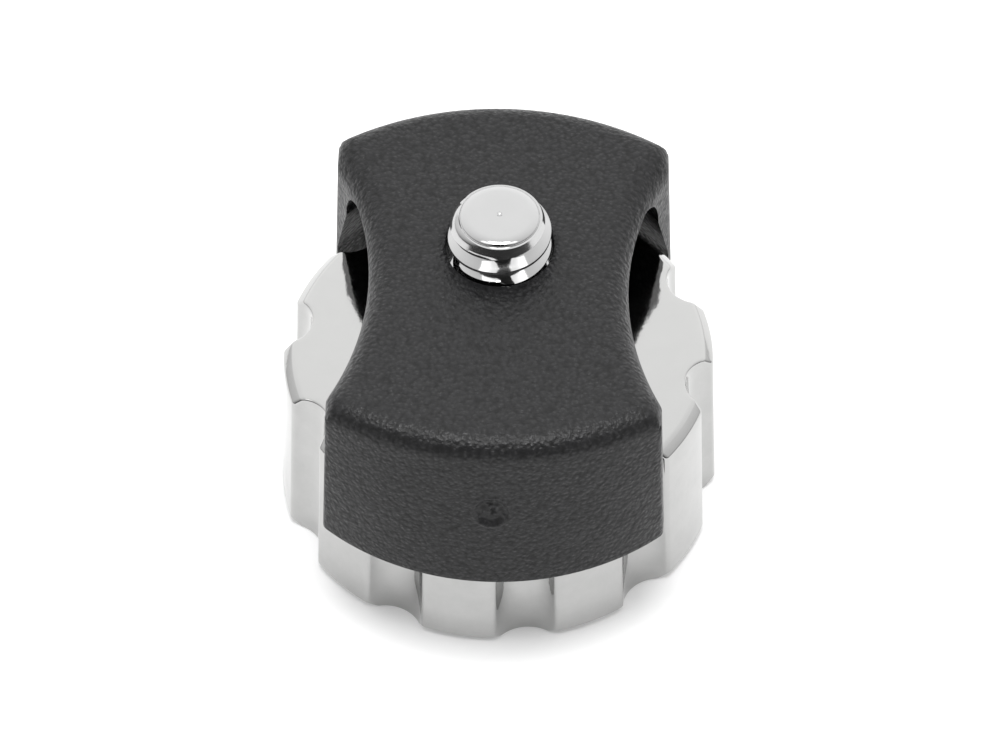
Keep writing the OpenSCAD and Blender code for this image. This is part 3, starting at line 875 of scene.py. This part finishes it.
def white_room(s):
    """The light from a white room. It grows with the height of its direction, to which up to about a half is
    added at the back, and it is dimmer in front. A round opening towards the camera's place is dark, with a
    soft edge."""
    room = bpy.data.worlds.new("white_room")
    room.use_nodes = True
    tree = room.node_tree
    look = add_node(tree, "ShaderNodeTexCoord", {}).outputs["Generated"]
    split = add_node(tree, "ShaderNodeSeparateXYZ", {"Vector": look}).outputs
    lift = remapped(tree, split["Y"], -1, 1, -0.1, 0.55)
    height = add_node(tree, "ShaderNodeMath", {0: split["Z"], 1: lift}, operation="ADD", use_clamp=True)
    ramp = add_node(tree, "ShaderNodeValToRGB", {0: height.outputs[0]})
    levels = ((0, 0.08), (0.2, 0.2), (0.45, 0.65), (0.7, 1), (1, 1))
    while len(ramp.color_ramp.elements) < len(levels):
        ramp.color_ramp.elements.new(0.5)
    for element, (position, level) in zip(ramp.color_ramp.elements, levels):
        element.position = position
        element.color = (level, level, level, 1)
    to_back = remapped(tree, split["Y"], -1, 1, 0.4, 1.15)
    to_camera = add_node(tree, "ShaderNodeVectorMath", {0: look, 1: tuple(towards(s.swing, s.height))},
                         operation="DOT_PRODUCT").outputs["Value"]
    rim, inside, darkest = math.cos(s.opening * 1.25), math.cos(s.opening * 0.75), 0.03
    opening = remapped(tree, to_camera, rim, inside, 1, darkest, interpolation_type="SMOOTHSTEP")
    bright = product(tree, product(tree, to_back, opening), s.sky)
    tree.links.new(ramp.outputs["Color"], tree.nodes["Background"].inputs["Color"])
    tree.links.new(bright, tree.nodes["Background"].inputs["Strength"])
    return room


# Operators ------------------------------------------------


class SCREWMOUNT_OT_stage(bpy.types.Operator):
    """Sets up the camera, the pale floor, the white room and the soft lights"""

    bl_idname = "screw_mount.stage"
    bl_label = "Stage"
    bl_options = {"REGISTER", "UNDO"}

    def execute(self, context):
        settings = context.scene.screw_mount.stage
        add_camera(settings)
        add_floor(settings)
        add_lights(settings)
        context.scene.world = white_room(settings)
        context.scene.view_settings.view_transform = "Standard"
        return {"FINISHED"}


class SCREWMOUNT_OT_hood(bpy.types.Operator):
    """Builds the saddle-shaped hood in grained black plastic"""

    bl_idname = "screw_mount.hood"
    bl_label = "Hood"
    bl_options = {"REGISTER", "UNDO"}

    def execute(self, context):
        settings = context.scene.screw_mount
        piece = build_hood(in_millimetres(settings.hood))
        plastic = grained_plastic(in_millimetres(settings.finish))
        finish_piece(piece, "mount_head", plastic, "hood")
        return {"FINISHED"}


class SCREWMOUNT_OT_wheel(bpy.types.Operator):
    """Builds the castellated clamp wheel in bright plating"""

    bl_idname = "screw_mount.wheel"
    bl_label = "Clamp Wheel"
    bl_options = {"REGISTER", "UNDO"}

    def execute(self, context):
        settings = context.scene.screw_mount
        piece = build_wheel(in_millimetres(settings.wheel))
        # Painted shade on the wheel's upright walls: their colour is 0.94 times that of the faces that point
        # up.
        chrome = plated("wheel_plating", settings.finish.wheel_chrome,
                        roughness=0.07, ripple=0.004, ripple_size=0.5, wall=0.94)
        finish_piece(piece, "clamp_wheel", chrome, "wheel")
        return {"FINISHED"}


class SCREWMOUNT_OT_stud(bpy.types.Operator):
    """Builds the threaded stud in bright plating"""

    bl_idname = "screw_mount.stud"
    bl_label = "Stud"
    bl_options = {"REGISTER", "UNDO"}

    def execute(self, context):
        settings = context.scene.screw_mount
        piece = build_stud(in_millimetres(settings.stud))
        chrome = plated("stud_plating", settings.finish.stud_chrome,
                        roughness=0.08, ripple=0.002, ripple_size=0.4)
        finish_piece(piece, "mount_head", chrome, "stud")
        return {"FINISHED"}


class SCREWMOUNT_OT_insert(bpy.types.Operator):
    """Builds the threaded insert in turned brass"""

    bl_idname = "screw_mount.insert"
    bl_label = "Threaded Insert"
    bl_options = {"REGISTER", "UNDO"}

    def execute(self, context):
        settings = context.scene.screw_mount
        piece = build_insert(in_millimetres(settings.insert))
        brass = turned("insert_brass", settings.finish.brass,
                       metallic=1, roughness=0.28, mark=0.004, mark_pitch=0.14)
        finish_piece(piece, "clamp_wheel", brass, "insert")
        return {"FINISHED"}


class SCREWMOUNT_OT_inner_parts(bpy.types.Operator):
    """Gives the core plate, screws, spindle, bush, washers and ring their finishes"""

    bl_idname = "screw_mount.inner_parts"
    bl_label = "Inner Parts"
    bl_options = {"REGISTER", "UNDO"}

    def execute(self, context):
        f = context.scene.screw_mount.finish
        stamped = plated("zinc_plated_sheet", f.steel, roughness=0.34, ripple=0.006, ripple_size=0.3)
        screw = plated("zinc_plated_screws", shade(f.steel, 1.08),
                       roughness=0.26, ripple=0.003, ripple_size=0.2)
        lathe = turned("turned_steel", shade(f.steel, 1.1),
                       metallic=1, roughness=0.22, mark=0.004, mark_pitch=0.12)
        spring = plated("spring_steel", shade(f.steel, 0.8), roughness=0.3, ripple=0.003, ripple_size=0.25)
        brass = turned("bush_brass", f.brass, metallic=1, roughness=0.24, mark=0.003, mark_pitch=0.1)
        nylon = turned("turned_nylon", f.nylon, metallic=0, roughness=0.48, mark=0.006, mark_pitch=0.2)
        finishes = {"core_plate": stamped, "plate_screws": screw, "spindle": lathe, "clip_washer": stamped,
                    "retaining_ring": spring, "wave_washer": spring, "bush": brass, "thrust_washer": nylon}
        for name, finish in finishes.items():
            slots = frame["nodes"][name].material_slots
            if not slots:
                raise RuntimeError(f"{name} has no material slot")
            for slot in slots:
                slot.material = finish
        return {"FINISHED"}


class VIEW3D_PT_screw_mount(bpy.types.Panel):
    """Lists the pieces and the stage of the screw mount"""

    bl_idname = "VIEW3D_PT_screw_mount"
    bl_label = "Screw Mount"
    bl_space_type = "VIEW_3D"
    bl_region_type = "UI"
    bl_category = "Screw Mount"

    def draw(self, context):
        column = self.layout.column(align=True)
        for operator in OPERATORS:
            column.operator(operator.bl_idname)
        settings = context.scene.screw_mount
        for name in settings.__annotations__:
            group = getattr(settings, name)
            box = self.layout.box()
            for key in group.__annotations__:
                box.prop(group, key)


OPERATORS = (SCREWMOUNT_OT_stage, SCREWMOUNT_OT_hood, SCREWMOUNT_OT_wheel, SCREWMOUNT_OT_stud,
             SCREWMOUNT_OT_insert, SCREWMOUNT_OT_inner_parts)
GROUPS = (HoodSettings, WheelSettings, StudSettings, InsertSettings, FinishSettings, StageSettings,
          MountSettings)


def register():
    """Registers the settings, the operators and the panel."""
    for kind in GROUPS + OPERATORS + (VIEW3D_PT_screw_mount,):
        bpy.utils.register_class(kind)
    bpy.types.Scene.screw_mount = PointerProperty(
        type=MountSettings, name="Screw Mount", description="Settings of the screw mount")


def unregister():
    """Removes what register adds."""
    del bpy.types.Scene.screw_mount
    for kind in reversed(GROUPS + OPERATORS + (VIEW3D_PT_screw_mount,)):
        bpy.utils.unregister_class(kind)


def main():
    """Registers the classes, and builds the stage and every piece."""
    register()
    bpy.ops.screw_mount.stage()
    bpy.ops.screw_mount.hood()
    bpy.ops.screw_mount.wheel()
    bpy.ops.screw_mount.stud()
    bpy.ops.screw_mount.insert()
    bpy.ops.screw_mount.inner_parts()


if __name__ == "__main__":
    main()
